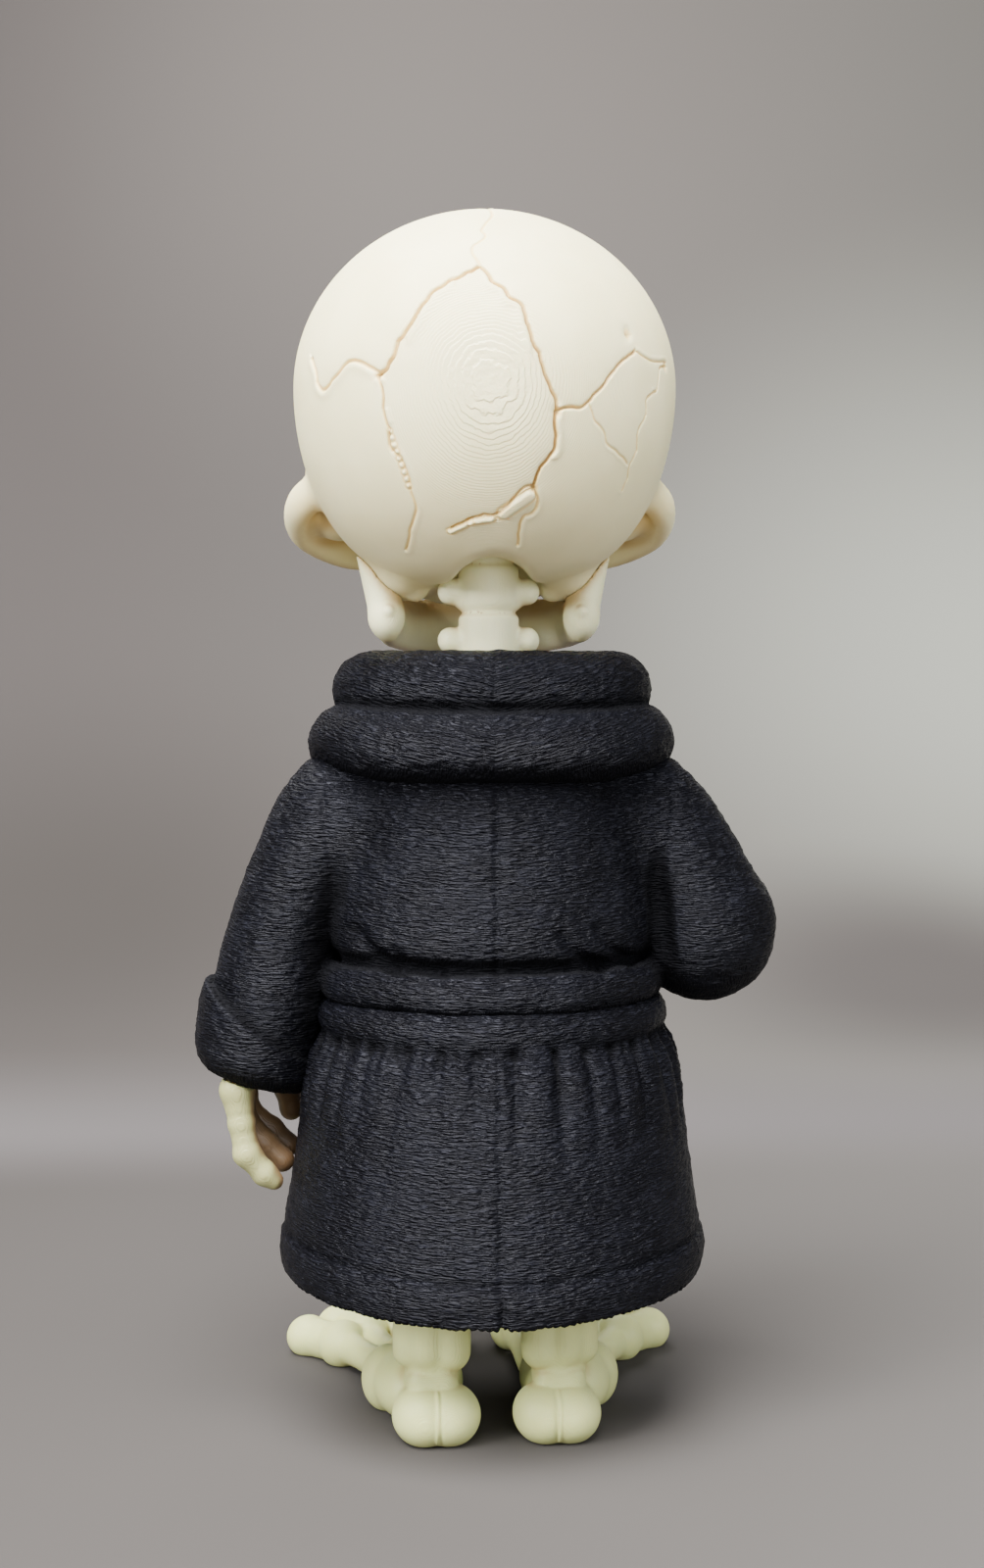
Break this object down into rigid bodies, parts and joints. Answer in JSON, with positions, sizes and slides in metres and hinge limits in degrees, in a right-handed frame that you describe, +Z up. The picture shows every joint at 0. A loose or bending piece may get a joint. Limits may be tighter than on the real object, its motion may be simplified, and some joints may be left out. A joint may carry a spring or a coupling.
{
  "type": "skeleton figurine",
  "caption": "Standing printed skeleton figure with a round skull, wearing a belted black bathrobe with a shawl collar; one arm hangs, the other is bent to the chest.",
  "frame": {"origin": "on the ground, under the middle of the figure's outline", "axes": "+Z up; the figure faces -Y, and its left hand is towards +X"},
  "size_m": [0.0968, 0.0796, 0.198],
  "materials": {
    "bone_ivory": "satin print, ivory, with fine layer lines",
    "bone_cream": "satin print, cream, slightly translucent",
    "robe_black": "satin black print with a short brushed fleece texture"
  },
  "bodies": {
    "root": {"skull": "bone_ivory", "jaw": "bone_ivory", "neck": "bone_ivory", "robe": "robe_black", "left_hand": "bone_cream", "right_hand": "bone_cream", "left_leg": "bone_cream", "right_leg": "bone_cream"}
  },
  "joints": []
}
